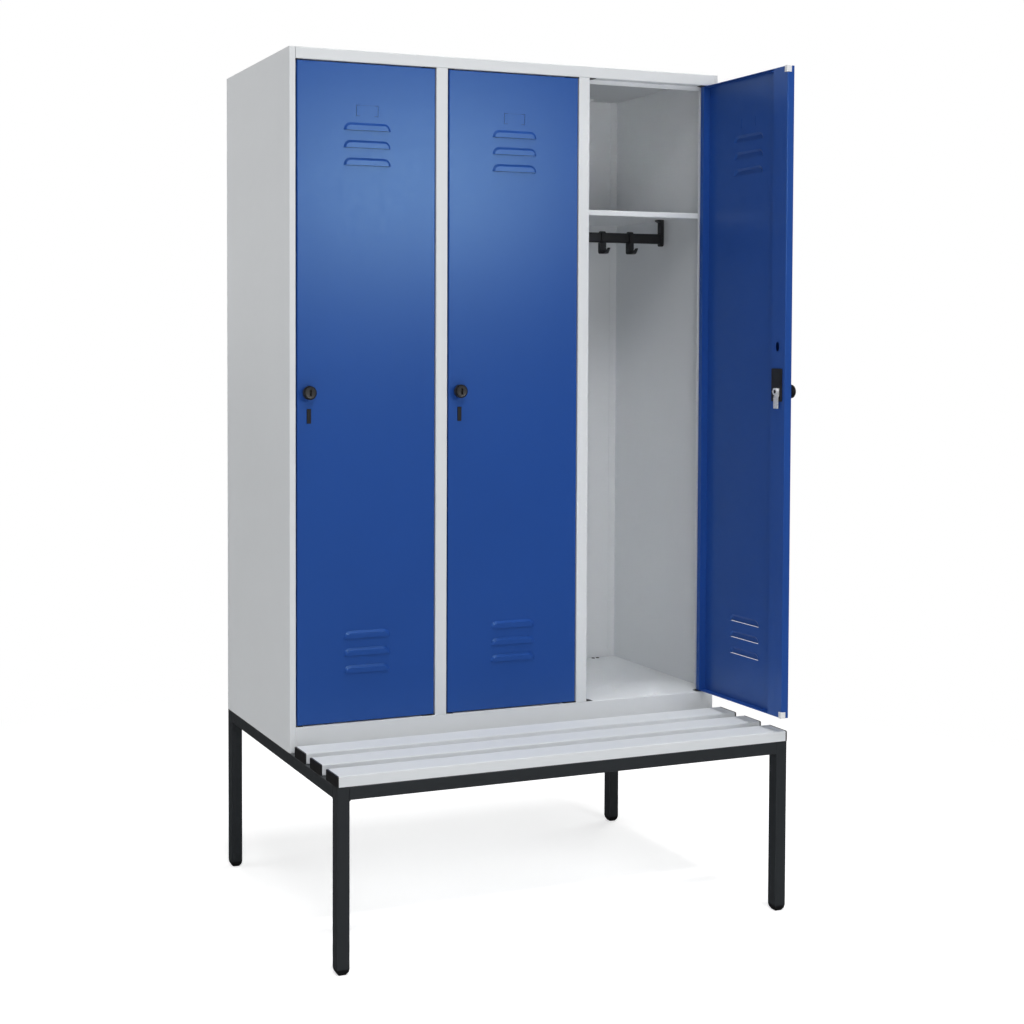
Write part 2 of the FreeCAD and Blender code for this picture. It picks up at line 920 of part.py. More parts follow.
def door_holes():
    """Cutters for everything that passes through a door."""
    front_skin = (0, sheet)
    flange = (door_depth - sheet, door_depth)
    spindle_radius = (spindle_diameter + hole_play) / 2
    spare_size = (spare_hole_width, spare_hole_height)
    spare_corner = spare_hole_width / 2 - fit_clearance
    holes = [
        rod_y(lock_x, lock_height, front_skin, spindle_radius),
        rod_y(lock_x, lock_height, flange, barrel_diameter / 2 + fit_clearance),
        oblong_y(slot_x, lock_height - plug_drop, front_skin, plug_hole_size(), plug_corner - plug_rim),
        oblong_y(slot_x, lock_height + spare_hole_rise, flange, spare_size, spare_corner),
    ]
    for x, z in buffer_pegs():
        holes.append(rod_y(x, z, flange, buffer_peg / 2 + fit_clearance))
    for z in ((door_bottom, door_bottom + sheet), (door_top - sheet, door_top)):
        holes.append(rod_z(hinge_x, hinge_setback, z, pin_diameter / 2 + fit_clearance))
    return holes + card_slots()


def door_panel():
    """Door with its pressed louvres, card clips and holes."""
    hood = louvre_loft(0, (-louvre_depth, 0))
    throat = louvre_loft(sheet, (sheet - louvre_depth, sheet))
    hoods = [moved(hood, x=x, z=z) for x, z in louvre_places()]
    throats = [moved(throat, x=x, z=z) for x, z in louvre_places()]
    return door_shell().fuse(hoods).cut(throats + door_holes()).removeSplitter()


# Lock and small fittings of a door

def lock_case():
    """Plastic case behind the lock flange, with the barrel that carries the spindle."""
    z = (lock_height - case_below, lock_height - case_below + case_height)
    x = (slot_x - case_width / 2, slot_x + case_width / 2)
    plate = rounded_rectangle(x, z, [case_corner] * 4, at_y(door_depth)).extrude(Vector(0, case_thickness, 0))
    barrel = rod_y(lock_x, lock_height, (sheet, door_depth), barrel_diameter / 2)
    bore = rod_y(lock_x, lock_height, (sheet, case_back), spindle_diameter / 2 + spindle_clearance)
    return plate.fuse(barrel).cut(bore)


def tail_section(clearance, y):
    """Round tail with two flats, which turns the cam."""
    half = tail_flats / 2 + clearance
    z = (lock_height - tail_diameter, lock_height + tail_diameter)
    slab = block((lock_x - half, lock_x + half), y, z)
    return rod_y(lock_x, lock_height, y, tail_diameter / 2 + clearance).common(slab)


def knob_solid():
    """Turned knob: a narrow neck that flares to a head with a bevelled face."""
    head_back = knob_depth - knob_head
    profile = [
        (0, 0),
        (knob_neck / 2, 0),
        (knob_neck / 2, head_back - knob_flare),
        (knob_diameter / 2, head_back),
        (knob_diameter / 2, knob_depth - knob_rim),
        (knob_face / 2, knob_depth),
        (0, knob_depth),
        (0, 0),
    ]
    rim = [Vector(lock_x + radius, -knob_gap - reach, lock_height) for radius, reach in profile]
    section = Part.Face(Part.makePolygon(rim))
    return section.revolve(Vector(lock_x, 0, lock_height), Vector(0, 1, 0), 360)


def lock_knob():
    """Turn knob with its keyway and the spindle through the door."""
    face = -knob_gap - knob_depth
    depth = (face, face + keyway_depth)
    keyway = oblong_y(lock_x, lock_height, depth, (keyway_width, keyway_height), keyway_width / 3)
    eye = rod_y(lock_x, lock_height + keyway_height / 4, depth, keyway_eye / 2)
    spindle = rod_y(lock_x, lock_height, (-knob_gap, case_back), spindle_diameter / 2)
    tail_end = case_back + cam_gap + cam_thickness + nut_height
    tail = tail_section(0, (case_back, tail_end))
    return knob_solid().cut([keyway, eye]).fuse([spindle, tail])


def cam_plate():
    """Cranked cam that hangs down when unlocked and swings behind the stile when locked."""
    reach = lock_inset + door_gap + cam_throw
    base = case_back + cam_gap
    step = nut_flats / math.sqrt(3)
    corners = [
        (base, cam_width / 2),
        (base, -step),
        (base + cam_crank, -step - 2 * cam_crank),
        (base + cam_crank, -reach),
    ]
    section = bent_strip(corners, cam_thickness, cam_thickness, at_x(lock_x - cam_width / 2))
    plate = moved(section.extrude(Vector(cam_width, 0, 0)), z=lock_height)
    return plate.cut(tail_section(fit_clearance, (base, base + cam_thickness)))


def cam_nut():
    """Nut that holds the cam on the spindle's tail."""
    base = case_back + cam_gap + cam_thickness
    nut = hexagon_z(0, 0, (0, nut_height), nut_flats)
    nut.rotate(Vector(0, 0, 0), Vector(1, 0, 0), -90)
    nut = moved(nut, x=lock_x, y=base, z=lock_height)
    return nut.cut(rod_y(lock_x, lock_height, (base, base + nut_height), tail_diameter / 2 + fit_clearance))


def lock_cam():
    return Part.makeCompound([cam_plate(), cam_nut()])


def slot_plug():
    """Plastic plug that closes the slot below the knob."""
    z = lock_height - plug_drop
    hole = plug_hole_size()
    size = (hole[0] - 2 * fit_clearance, hole[1] - 2 * fit_clearance)
    head = oblong_y(slot_x, z, (-plug_head, 0), (plug_width, plug_height), plug_corner)
    rim = [edge for edge in head.Edges if edge.BoundBox.YMax < -plug_head / 2]
    body = oblong_y(slot_x, z, (0, plug_length), size, plug_corner - plug_rim - fit_clearance)
    return head.makeChamfer(plug_head / 2, rim).fuse(body)


def door_buffer(x, z):
    """Soft stop wrapped round the door's free edge, held by a peg in the lock flange."""
    crest = door_depth + stop_space - buffer_gap
    edge = door_left - buffer_skin
    wrap_end = door_depth - buffer_wrap
    corners = [
        (door_left + buffer_width, door_depth),
        (door_left, door_depth),
        (door_left, wrap_end),
        (edge, wrap_end),
        (edge, crest),
        (door_left + buffer_width, crest),
    ]
    radii = [0, 0, 0, 0, buffer_round, buffer_round]
    section = outline(polygon_knots(corners, radii), at_z(z - buffer_height / 2))
    peg = rod_y(x, z, (door_depth - buffer_peg_length, door_depth), buffer_peg / 2)
    return section.extrude(Vector(0, 0, buffer_height)).fuse(peg)


def door_buffers():
    return Part.makeCompound([door_buffer(x, z) for x, z in buffer_pegs()])


def hung(shape, index):
    """Door piece moved to its opening, and swung on the hinge where that door stands open."""
    piece = moved(shape, x=opening_left(index), y=front)
    if index + 1 == open_door:
        axis = Vector(opening_left(index) + hinge_x, front + hinge_setback, 0)
        piece.rotate(axis, Vector(0, 0, 1), open_angle)
    return piece


# Whole locker

def frame_nodes():
    rail = side_rail()
    nodes = {
        "bench_legs": bench_legs(),
        "leg_feet": leg_feet(),
        "side_rail_left": rail,
        "side_rail_right": mirrored_x(rail),
        "front_rail": cross_tube(bench_front),
        "middle_rail": bolted_rail(front),
        "rear_rail": bolted_rail(back - tube),
        "slat_end_caps": slat_end_caps(),
        "slat_screws": slat_screws(),
    }
    for index in range(slat_count):
        nodes["bench_slat_%d" % (index + 1)] = bench_slat(index)
    return nodes


def cabinet_nodes():
    nodes = {
        "side_panel_left": lock_side_panel(),
        "side_panel_right": hinge_side_panel(),
        "back_panel": back_panel(),
        "top_panel": top_panel(),
        "floor_panel": floor_panel(),
        "rail_brackets": rail_brackets(),
        "hinge_bushes": hinge_bushes(),
        "corner_plugs": corner_plugs(),
        "cabinet_bolts": cabinet_bolts(),
    }
    for index in range(compartments - 1):
        nodes["divider_%d" % (index + 1)] = divider(index)
    for index in range(compartments):
        nodes["hat_shelf_%d" % (index + 1)] = hat_shelf(index)
        nodes["coat_rail_%d" % (index + 1)] = coat_rail(index)
    return nodes


def hook_nodes():
    hook = coat_hook()
    nodes = {}
    for index in range(compartments):
        for place in range(hook_count):
            name = "coat_hook_%d_%d" % (index + 1, place + 1)
            nodes[name] = on_rail(moved(hook, x=hook_place(index, place)))
    return nodes


def door_nodes():
    pieces = {
        "door_panel": door_panel(),
        "hinge_pins": hinge_pins(),
        "door_buffers": door_buffers(),
        "slot_plug": slot_plug(),
        "lock_case": lock_case(),
        "lock_knob": lock_knob(),
        "lock_cam": lock_cam(),
    }
    nodes = {}
    for index in range(compartments):
        for name, piece in pieces.items():
            nodes["%s_%d" % (name, index + 1)] = hung(piece, index)
    return nodes


os.makedirs("parts", exist_ok=True)
for nodes in (frame_nodes(), cabinet_nodes(), hook_nodes(), door_nodes()):
    for name, shape in nodes.items():
        shape.exportStep(os.path.join("parts", name + ".step"))
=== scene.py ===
import bpy
import bmesh
import json
import math
from mathutils import Matrix, Vector


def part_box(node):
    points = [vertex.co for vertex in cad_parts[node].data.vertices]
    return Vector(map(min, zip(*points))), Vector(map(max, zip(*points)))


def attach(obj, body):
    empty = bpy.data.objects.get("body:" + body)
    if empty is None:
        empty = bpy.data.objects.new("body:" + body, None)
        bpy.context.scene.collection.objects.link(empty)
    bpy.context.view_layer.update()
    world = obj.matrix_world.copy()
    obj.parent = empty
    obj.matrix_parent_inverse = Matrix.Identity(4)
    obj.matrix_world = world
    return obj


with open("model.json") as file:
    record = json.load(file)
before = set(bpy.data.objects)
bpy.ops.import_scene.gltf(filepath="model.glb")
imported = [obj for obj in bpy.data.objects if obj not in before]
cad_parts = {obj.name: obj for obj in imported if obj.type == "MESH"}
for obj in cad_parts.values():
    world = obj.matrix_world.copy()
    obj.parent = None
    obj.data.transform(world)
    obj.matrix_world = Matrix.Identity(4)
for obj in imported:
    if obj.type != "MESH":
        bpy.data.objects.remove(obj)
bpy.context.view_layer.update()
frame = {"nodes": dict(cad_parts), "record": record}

# Lengths are metres. X runs right along the front, Y runs to the back and Z runs up.
QUARTER_TURN = math.pi / 2

# Camera, matched to the photograph
CAMERA_PLACE = (-1.8223, -3.6267, 1.3909)
CAMERA_TILT = math.radians(2.0)
CAMERA_TURN = 0.3589
CAMERA_LENS = 55.84
CAMERA_SHIFT = (0.1810, -0.1093)

# Soft boxes, which the coats mirror
SOFT_BOXES = {
    "key_light": {
        "place": (1.06, -3.3, 2.14), "aim": (-0.2, -0.1, 1.5), "size": (1.2, 0.5), "power": 24.0},
    "side_light": {
        "place": (-4.2, 1.2, 2.0), "aim": (-0.6, 0.15, 1.2), "size": (3.0, 3.0), "power": 49.0},
    "left_light": {
        "place": (-1.9, -4.4, 4.8), "aim": (0.2, 0.0, 0.7), "size": (1.1, 1.1), "power": 40.0},
    "louvre_light": {
        "place": (0.7, -2.8, 4.8), "aim": (-0.2, -0.1, 0.7), "size": (1.6, 1.0), "power": 13.0},
    "rear_light": {
        "place": (-2.2, 4.4, 2.6), "aim": (-0.4, 0.3, 1.7), "size": (3.0, 2.6), "power": 22.0},
}

# Fill panels, which give no reflection. The last three are narrow beams into the open compartment.
FILL_PANELS = {
    "high_fill": {
        "place": (-0.8, -3.0, 6.0), "aim": (0.0, -0.2, 0.8), "size": (3.5, 3.5), "power": 84.0},
    "low_fill": {
        "place": (-1.6, -4.6, 0.9), "aim": (0.1, 0.0, 1.0), "size": (2.0, 1.4), "power": 32.0},
    "bench_fill": {
        "place": (0.0, -0.6, 9.0), "aim": (0.0, -0.6, 0.0), "size": (2.0, 1.0), "power": 285.0},
    "right_fill": {
        "place": (4.0, 2.4, 2.4), "aim": (0.3, 0.3, 1.1), "size": (3.0, 3.0), "power": 70.0},
    "shelf_fill": {
        "place": (-1.45, -3.2, 1.45), "aim": (0.52, 0.15, 1.93), "size": (0.1, 0.1),
        "power": 0.052, "spread": 6.5},
    "coat_fill": {
        "place": (-1.45, -3.2, 1.9), "aim": (0.53, 0.15, 0.95), "size": (0.1, 0.8),
        "power": 0.14, "spread": 7.0},
    "pan_fill": {
        "place": (0.35, -2.0, 4.8), "aim": (0.39, 0.17, 0.48), "size": (0.3, 0.4),
        "power": 0.075, "spread": 2.0},
}
# Spread in degrees of a light that gives none
FULL_SPREAD = 180.0

# White background, and the share of it that lights the object
WHITE = (1.0, 1.0, 1.0, 1.0)
WHITE_STRENGTH = 1.0
SKY_FILL = 0.03

# Floor, which fades to white between two distances from the origin
FLOOR_REACH = 30.0
FLOOR_COLOUR = (0.94, 0.94, 0.94, 1.0)
FLOOR_LIFT = 0.56
FLOOR_IN_GLOSS = (0.05, 0.05, 0.05, 1.0)
FLOOR_ROUGHNESS = 0.9
FLOOR_GLOSS_LEVEL = 0.0
SHADE_INNER = 0.9
SHADE_OUTER = 2.4

# Paints, plastics and metal, in linear colour
BODY_GREY = (0.715, 0.737, 0.755, 1.0)
DOOR_BLUE = (0.0172, 0.0690, 0.3070, 1.0)
DOOR_SHEEN = (0.44, 0.74, 1.0, 1.0)
DOOR_GLOSS_LEVEL = 0.65
FRAME_GREY = (0.0270, 0.0310, 0.0350, 1.0)
SLAT_GREY = (0.700, 0.725, 0.745, 1.0)
SLAT_SHADE = (0.640, 0.665, 0.690, 1.0)
SLAT_GLOSS_LEVEL = 0.2
BLACK_PLASTIC = (0.0095, 0.0095, 0.0105, 1.0)
# Painted shade: dark navy of the strips that stand in for the shadow in the card clips' scores
PAINTED_SHADE_NAVY = (0.0040, 0.0150, 0.0700, 1.0)
DIAL_GREY = (0.030, 0.030, 0.031, 1.0)
WHITE_PLASTIC = (0.80, 0.81, 0.82, 1.0)
ZINC_LIGHT = (0.86, 0.87, 0.88, 1.0)
ZINC_DARK = (0.66, 0.67, 0.69, 1.0)

# Finish of each material: drift of tone, limits of roughness, strength of relief, dulling by marks.
# The slats' shade and the zinc's metal are limits too.
FINISHES = {
    "body_coat": {"tone": 0.012, "gloss": (0.42, 0.50), "relief": 0.12, "marks": 0.04},
    "door_coat": {"tone": 0.03, "gloss": (0.28, 0.32), "relief": 0.10, "marks": 0.03},
    "frame_coat": {"tone": 0.05, "gloss": (0.36, 0.44), "relief": 0.16, "marks": 0.08},
    # The next row coats those strips of painted shade in the card clips' scores
    "painted_slit_shade": {"tone": 0.05, "gloss": (0.60, 0.70), "relief": 0.10, "marks": 0.0},
    "black_moulding": {"tone": 0.10, "gloss": (0.36, 0.50), "relief": 0.25, "marks": 0.06},
    "white_moulding": {"tone": 0.02, "gloss": (0.42, 0.55), "relief": 0.12, "marks": 0.05},
    "dial_face": {"tone": 0.12, "gloss": (0.38, 0.48), "relief": 0.30, "marks": 0.10},
    "slat_plastic": {"shade": (0.25, 0.55), "gloss": (0.66, 0.76), "relief": 0.25, "marks": 0.12},
    "zinc_plate": {"metal": (0.25, 0.5), "gloss": (0.30, 0.46), "relief": 0.2},
}

# Grains of noise, as features per metre and levels of detail
DRIFT_GRAIN = (3.0, 3.0)
MOTTLE_GRAIN = (55.0, 4.0)
CLOUD_GRAIN = (55.0, 3.0)
PEEL_GRAIN = (420.0, 1.0)
PIT_GRAIN = (1500.0, 2.0)
STREAK_GRAIN = (520.0, 3.0)
SCRATCH_GRAIN = (900.0, 2.0)
RUB_GRAIN = (26.0, 3.0)

# Cells per metre, and the draw of grains along X
MOULD_SCALE = 1500.0
SPANGLE_SCALE = 420.0
STREAK_STRETCH = (0.012, 1.0, 1.0)
SCRATCH_STRETCH = (0.05, 1.0, 1.0)
RUB_STRETCH = (0.35, 1.0, 1.0)

# Heights of the relief, and the share of pits in the orange peel
PEEL_HEIGHT = 0.00030
PIT_SHARE = 0.35
MOULD_HEIGHT = 0.00015
STREAK_HEIGHT = 0.00010

# Limits between which a noise is read
NOISE_LIMITS = (0.3, 0.7)
RUB_LIMITS = (0.52, 0.75)
SCRATCH_LIMITS = (0.5, 0.72)
FULL_RANGE = (0.0, 1.0)

# Sockets of the groups for coats and mouldings
SURFACE_INPUTS = (
    ("Colour", "Color"), ("Tone", "Float"),
    ("Gloss Low", "Float"), ("Gloss High", "Float"), ("Relief", "Float"))
SURFACE_OUTPUTS = (("Colour", "Color"), ("Roughness", "Float"), ("Normal", "Vector"))

# Picking: limits by which an edge runs along or across an axis, and a face looks along it
ALONG = 0.9
ACROSS = 0.1
FACING = 0.99
SELECT_MODES = {"faces": "FACE", "edges": "EDGE", "verts": "VERT"}

# Rounded edges and smooth shading
ROUND_STEPS = 3
SMOOTH_ANGLE = math.radians(35.0)

# Door openings, and the swing of the open door
OPENING_LEFTS = (-0.574, -0.181, 0.212)
DOOR_MIDDLE = 0.181
OPEN_DOOR = 3
OPEN_HINGE = Vector((0.562, -0.0865, 0.0))
OPEN_ANGLE = math.radians(91.0)

# Weld beads of the tube frame
BEAD_RADIUS = 0.0032
BEAD_LENGTH = 0.029
BEAD_SIDES = 10
BEAD_RIPPLES = 7
BEAD_WAIST = 0.86
BEAD_TAPER = 0.45

# Painted shade of the card clips: dark strips in the scores of their arms, and a thin one along the
# card's upper edge. The offset runs from the middle of a door, the place is along Y.
# The round is a share of a line's width.
ARM_LENGTH = 0.0098
ARM_WIDTH = 0.0012
ARM_OFFSET = 0.0235
EDGE_LENGTH = 0.0372
EDGE_WIDTH = 0.0004
SLIT_DEPTH = 0.00012
SLIT_PLACE = -0.0925
SLIT_LEVELS = (1.93545, 1.96055)
SLIT_ROUND = 0.25

# Grommets in the floor drains, whose black lining is also painted shade that darkens the holes. The
# offsets run from the left of an opening, the place is along Y.
DRAIN_OFFSETS = (0.300, 0.314)
DRAIN_PLACE = 0.392
DRAIN_LEVEL = 0.4809
GROMMET_RADIUS = 0.0050
GROMMET_HEIGHT = 0.0016
GROMMET_ROUND = 0.0006
GROMMET_STEP = 0.0016
GROMMET_STEM = 0.0060
GROMMET_BORE = 0.0022
GROMMET_DRILL = 0.024
GROMMET_SIDES = 32

# Dial of each lock knob. The knob's axis runs from the left of an opening, its face is along Y.
DIAL_RADIUS = 0.0131
DIAL_THICKNESS = 0.0007
DIAL_RIM = 0.0011
DIAL_DISH = 0.0003
DIAL_BEVEL = 0.0002
DIAL_BEVEL_STEPS = 2
DIAL_SIDES = 64
KNOB_AXIS = 0.029
KNOB_HEIGHT = 1.277
KNOB_FACE = -0.1148
KEYWAY = (0.0046, 0.0154)
KEYWAY_EYE = 0.0035
EYE_RISE = 0.00375


# Node helpers

def add_node(tree, kind, values=None, **settings):
    """New shader node with its settings, and a value or a link for each named input."""
    node = tree.nodes.new("ShaderNode" + kind)
    for label, value in settings.items():
        setattr(node, label, value)
    for label, value in (values or {}).items():
        if isinstance(value, bpy.types.NodeSocket):
            tree.links.new(value, node.inputs[label])
        else:
            node.inputs[label].default_value = value
    return node


def socket_of(sockets, identifier):
    """Socket of a Mix node, whose labels repeat for each type of data."""
    return next(socket for socket in sockets if socket.identifier == identifier)


def mixed_colour(tree, factor, first, second):
    """Blend of two colours by a factor that varies over the surface."""
    node = add_node(tree, "Mix", data_type="RGBA")
    for identifier, value in (("Factor_Float", factor), ("A_Color", first), ("B_Color", second)):
        socket = socket_of(node.inputs, identifier)
        if isinstance(value, bpy.types.NodeSocket):
            tree.links.new(value, socket)
        else:
            socket.default_value = value
    return socket_of(node.outputs, "Result_Color")


def math_value(tree, operation, first, second):
    """Sum, difference or product of two values."""
    return add_node(tree, "Math", {0: first, 1: second}, operation=operation).outputs["Value"]


def noise(tree, vector, grain):
    """Cloudy noise with the scale and detail of a grain."""
    scale, detail = grain
    values = {"Vector": vector, "Scale": scale, "Detail": detail}
    return add_node(tree, "TexNoise", values).outputs["Fac"]


def remap(tree, value, low, high, source=NOISE_LIMITS):
    """Value spread between two limits, which may vary too."""
    start, end = source
    values = {"Value": value, "From Min": start, "From Max": end, "To Min": low, "To Max": high}
    return add_node(tree, "MapRange", values).outputs["Result"]


def toned_colour(tree, given, pattern):
    """A group's colour, made darker and lighter by its tone as a pattern varies."""
    darker = math_value(tree, "SUBTRACT", 1.0, given["Tone"])
    lighter = math_value(tree, "ADD", 1.0, given["Tone"])
    values = {0: given["Colour"], "Scale": remap(tree, pattern, darker, lighter)}
    return add_node(tree, "VectorMath", values, operation="SCALE").outputs["Vector"]


def object_place(tree, stretch=None):
    """Place on the object, drawn out along X where a stretch is given."""
    place = add_node(tree, "TexCoord").outputs["Object"]
    if stretch is None:
        return place
    return add_node(tree, "Mapping", {"Vector": place, "Scale": stretch}).outputs["Vector"]


def bump(tree, height, strength, distance):
    """Normal of a surface with relief."""
    values = {"Height": height, "Strength": strength, "Distance": distance}
    return add_node(tree, "Bump", values).outputs["Normal"]


def new_group(name, inputs, outputs):
    """Shader node group with the given sockets, and its input and output nodes' sockets."""
    group = bpy.data.node_groups.new(name, "ShaderNodeTree")
    for way, sockets in (("INPUT", inputs), ("OUTPUT", outputs)):
        for label, kind in sockets:
            group.interface.new_socket(label, in_out=way, socket_type="NodeSocket" + kind)
    given = group.nodes.new("NodeGroupInput").outputs
    result = group.nodes.new("NodeGroupOutput").inputs
    return group, given, result


# Surface effects that several materials share

def make_coat_group():
    """Powder coat: slow drift of tone, cloudy gloss, and orange peel with fine pits."""
    group, given, result = new_group("powder_coat", SURFACE_INPUTS, SURFACE_OUTPUTS)
    place = object_place(group)
    drift = noise(group, place, DRIFT_GRAIN)
    mottle = noise(group, place, MOTTLE_GRAIN)
    pits = math_value(group, "MULTIPLY", noise(group, place, PIT_GRAIN), PIT_SHARE)
    height = math_value(group, "ADD", noise(group, place, PEEL_GRAIN), pits)
    roughness = remap(group, mottle, given["Gloss Low"], given["Gloss High"])
    group.links.new(toned_colour(group, given, drift), result["Colour"])
    group.links.new(roughness, result["Roughness"])
    group.links.new(bump(group, height, given["Relief"], PEEL_HEIGHT), result["Normal"])
    return group


def make_mould_group():
    """Moulded plastic: fine eroded grain, faint flow clouds and uneven gloss."""
    group, given, result = new_group("moulded_grain", SURFACE_INPUTS, SURFACE_OUTPUTS)
    place = object_place(group)
    cloud = noise(group, place, CLOUD_GRAIN)
    pores = {"Vector": place, "Scale": MOULD_SCALE}
    height = add_node(group, "TexVoronoi", pores, feature="SMOOTH_F1").outputs["Distance"]
    roughness = remap(group, cloud, given["Gloss High"], given["Gloss Low"])
    group.links.new(toned_colour(group, given, cloud), result["Colour"])
    group.links.new(roughness, result["Roughness"])
    group.links.new(bump(group, height, given["Relief"], MOULD_HEIGHT), result["Normal"])
    return group


def make_mark_group():
    """Marks of use: a mask of faint rubbed patches broken up by fine scratches."""
    group, given, result = new_group("rubbed_marks", [("Amount", "Float")], [("Marks", "Float")])
    rubs = noise(group, object_place(group, RUB_STRETCH), RUB_GRAIN)
    scratches = noise(group, object_place(group, SCRATCH_STRETCH), SCRATCH_GRAIN)
    patches = remap(group, rubs, *FULL_RANGE, RUB_LIMITS)
    lines = remap(group, scratches, *FULL_RANGE, SCRATCH_LIMITS)
    broken = math_value(group, "MULTIPLY", patches, lines)
    group.links.new(math_value(group, "MULTIPLY", broken, given["Amount"]), result["Marks"])
    return group


COAT = make_coat_group()
MOULD = make_mould_group()
MARKS = make_mark_group()


# Materials

def new_material(name):
    """Material with its node tree and its shader."""
    material = bpy.data.materials.new(name)
    material.use_nodes = True
    return material, material.node_tree, material.node_tree.nodes["Principled BSDF"]


def rubbed_roughness(tree, roughness, amount):
    """Roughness with the marks of use added."""
    rubbed = add_node(tree, "Group", {"Amount": amount}, node_tree=MARKS)
    return math_value(tree, "ADD", roughness, rubbed.outputs["Marks"])


def finished_material(name, group, colour):
    """Material with tone, gloss and relief from a surface group, dulled where it is rubbed."""
    material, tree, shader = new_material(name)
    finish = FINISHES[name]
    low, high = finish["gloss"]
    values = {
        "Colour": colour, "Tone": finish["tone"],
        "Gloss Low": low, "Gloss High": high, "Relief": finish["relief"]}
    surface = add_node(tree, "Group", values, node_tree=group).outputs
    roughness = rubbed_roughness(tree, surface["Roughness"], finish["marks"])
    tree.links.new(surface["Colour"], shader.inputs["Base Color"])
    tree.links.new(roughness, shader.inputs["Roughness"])
    tree.links.new(surface["Normal"], shader.inputs["Normal"])
    return material


def slat_material():
    """Extruded plastic of the bench: faint lines along each slat and patches rubbed by sitting."""
    material, tree, shader = new_material("slat_plastic")
    finish = FINISHES["slat_plastic"]
    along = noise(tree, object_place(tree, STREAK_STRETCH), STREAK_GRAIN)
    cloud = noise(tree, object_place(tree), DRIFT_GRAIN)
    streaks = remap(tree, along, *FULL_RANGE)
    shade = math_value(tree, "MULTIPLY", streaks, remap(tree, cloud, *finish["shade"]))
    colour = mixed_colour(tree, shade, SLAT_GREY, SLAT_SHADE)
    roughness = rubbed_roughness(tree, remap(tree, along, *finish["gloss"]), finish["marks"])
    shader.inputs["Specular IOR Level"].default_value = SLAT_GLOSS_LEVEL
    tree.links.new(colour, shader.inputs["Base Color"])
    tree.links.new(roughness, shader.inputs["Roughness"])
    tree.links.new(bump(tree, along, finish["relief"], STREAK_HEIGHT), shader.inputs["Normal"])
    return material


def zinc_material():
    """Bright zinc plate: small crystal patches of two tones under fine drawing lines."""
    material, tree, shader = new_material("zinc_plate")
    finish = FINISHES["zinc_plate"]
    spangle = {"Vector": object_place(tree), "Scale": SPANGLE_SCALE}
    crystals = add_node(tree, "TexVoronoi", spangle).outputs["Color"]
    patch = add_node(tree, "SeparateColor", {"Color": crystals}).outputs["Red"]
    lines = noise(tree, object_place(tree, SCRATCH_STRETCH), SCRATCH_GRAIN)
    metal = remap(tree, patch, *finish["metal"], FULL_RANGE)
    roughness = remap(tree, lines, *finish["gloss"])
    tree.links.new(mixed_colour(tree, patch, ZINC_LIGHT, ZINC_DARK), shader.inputs["Base Color"])
    tree.links.new(metal, shader.inputs["Metallic"])
    tree.links.new(roughness, shader.inputs["Roughness"])
    tree.links.new(bump(tree, lines, finish["relief"], STREAK_HEIGHT), shader.inputs["Normal"])
    return material


MATERIALS = {
    "body_grey": finished_material("body_coat", COAT, BODY_GREY),
    "door_blue": finished_material("door_coat", COAT, DOOR_BLUE),
    "frame_grey": finished_material("frame_coat", COAT, FRAME_GREY),
    "slat_grey": slat_material(),
    "black_plastic": finished_material("black_moulding", MOULD, BLACK_PLASTIC),
    "white_plastic": finished_material("white_moulding", MOULD, WHITE_PLASTIC),
    "zinc_steel": zinc_material(),
}
# Painted shade: coat of the dark strips that stand in for the shadow in the card clips' scores
PAINTED_SHADE_COAT = finished_material("painted_slit_shade", COAT, PAINTED_SHADE_NAVY)
DIAL_FACE = finished_material("dial_face", MOULD, DIAL_GREY)

door_shader = MATERIALS["door_blue"].node_tree.nodes["Principled BSDF"]
door_shader.inputs["Specular IOR Level"].default_value = DOOR_GLOSS_LEVEL
door_shader.inputs["Specular Tint"].default_value = DOOR_SHEEN


def dress_nodes():
    """Gives every solid the material of its slot in the record."""
    for entry in frame["record"]["subparts"]:
        mesh = frame["nodes"][entry["node"]].data
        mesh.materials.clear()
        mesh.materials.append(MATERIALS[entry["material_slot"]])


# Modelled pieces

def deselect_all():
    """Leaves no object selected."""
    bpy.ops.object.select_all(action="DESELECT")


def pick(piece, kind, test):
    """In edit mode, selects the faces, edges or vertices whose middle and direction pass a test."""
    bpy.ops.mesh.select_all(action="DESELECT")
    bpy.ops.mesh.select_mode(type=SELECT_MODES[kind])
    mesh = bmesh.from_edit_mesh(piece.data)
    for element in getattr(mesh, kind):
        points = [element.co] if kind == "verts" else [vertex.co for vertex in element.verts]
        middle = sum(points, Vector()) / len(points)
        if kind == "edges":
            direction = (points[1] - points[0]).normalized()
        else:
            direction = element.normal
        element.select_set(test(middle, direction))
    mesh.select_flush_mode()
    bmesh.update_edit_mesh(piece.data)


def settle(piece):
    """Leaves a piece at the origin, with its place in its mesh, and smooth between sharp edges."""
    deselect_all()
    piece.select_set(True)
    bpy.context.view_layer.objects.active = piece
    bpy.ops.object.transform_apply(location=True, rotation=True, scale=True)
    bpy.ops.object.shade_smooth_by_angle(angle=SMOOTH_ANGLE)


def swung_open(number, place):
    """Place of a door's piece at rest, which is turned round the hinge on the open door."""
    if number != OPEN_DOOR:
        return place
    swing = Matrix.Rotation(OPEN_ANGLE, 4, "Z")
    return Matrix.Translation(OPEN_HINGE) @ swing @ Matrix.Translation(-OPEN_HINGE) @ place


def copy_of(pattern):
    """Copy of a modelled piece with a mesh of its own."""
    deselect_all()
    pattern.select_set(True)
    bpy.context.view_layer.objects.active = pattern
    bpy.ops.object.duplicate()
    return bpy.context.object


def joined(pieces, name):
    """One object made of several pieces."""
    deselect_all()
    for piece in pieces:
        piece.select_set(True)
    bpy.context.view_layer.objects.active = pieces[0]
    bpy.ops.object.join()
    bpy.context.object.name = name
    return bpy.context.object


